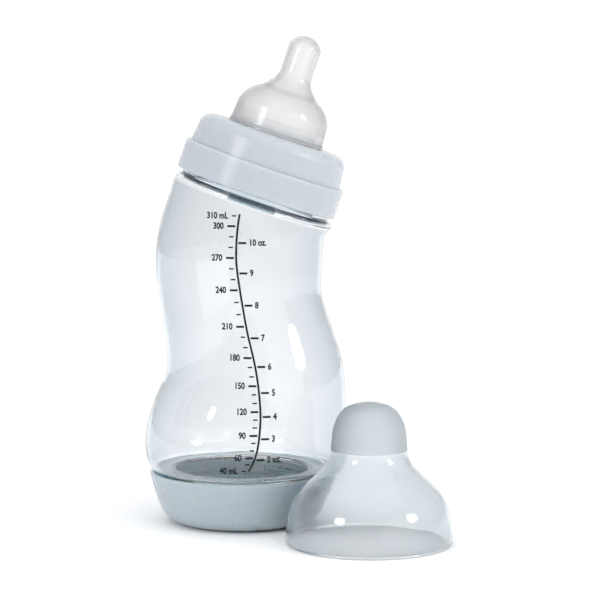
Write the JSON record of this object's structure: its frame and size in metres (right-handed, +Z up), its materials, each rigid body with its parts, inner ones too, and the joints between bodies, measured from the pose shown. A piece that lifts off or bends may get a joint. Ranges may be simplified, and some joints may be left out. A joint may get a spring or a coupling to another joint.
{
  "type": "baby bottle",
  "caption": "S-shaped baby bottle with a screw-on base, a vent valve, a screw ring with a silicone teat, and a domed cap standing beside it.",
  "frame": {"origin": "centre of the base cup's foot, on the surface that the bottle stands on", "axes": "+Z up; +X is the way the neck leans; the printed scale faces -Y"},
  "size_m": [0.11, 0.1049, 0.1764],
  "materials": {
    "clear_plastic": "clear, smooth moulded polypropylene with a pale blue tint",
    "blue_plastic": "opaque pale grey-blue polypropylene, satin",
    "silicone": "translucent silicone, satin",
    "valve_silicone": "translucent silicone, satin",
    "cap_plastic": "clear pale blue polypropylene, knob frosted"
  },
  "bodies": {
    "base": {"base_cup": "blue_plastic"},
    "valve": {"valve_membrane": "valve_silicone"},
    "bottle": {"bottle_body": "clear_plastic"},
    "teat": {"teat": "silicone"},
    "ring": {"screw_ring": "blue_plastic"},
    "cap": {"dome_cap": "cap_plastic"}
  },
  "joints": [
    {"name": "teat_lift", "type": "slide", "parent": "bottle", "child": "teat", "axis": [0.3256, 0, 0.9455], "range_m": [0, 0.00625]},
    {"name": "ring_screw", "type": "hinge", "parent": "teat", "child": "ring", "pos_m": [0.0054, 0, 0.12025], "axis": [0.3256, 0, 0.9455], "range_deg": [0, 450]},
    {"name": "valve_rise", "type": "slide", "parent": "base", "child": "valve", "axis": [0, 0, 1], "range_m": [0, 0.005]},
    {"name": "base_screw", "type": "hinge", "parent": "valve", "child": "bottle", "pos_m": [0, 0, 0], "axis": [0, 0, 1], "range_deg": [0, 360]},
    {"name": "cap_slide", "type": "slide", "parent": "base", "child": "cap", "axis": [0.7527, -0.6584, 0], "range_m": [0, 0.06]}
  ],
  "couplings": [
    {"joint": "teat_lift", "follows": "ring_screw", "m_per_rad": 0.00079577},
    {"joint": "valve_rise", "follows": "base_screw", "m_per_rad": 0.00079577}
  ]
}
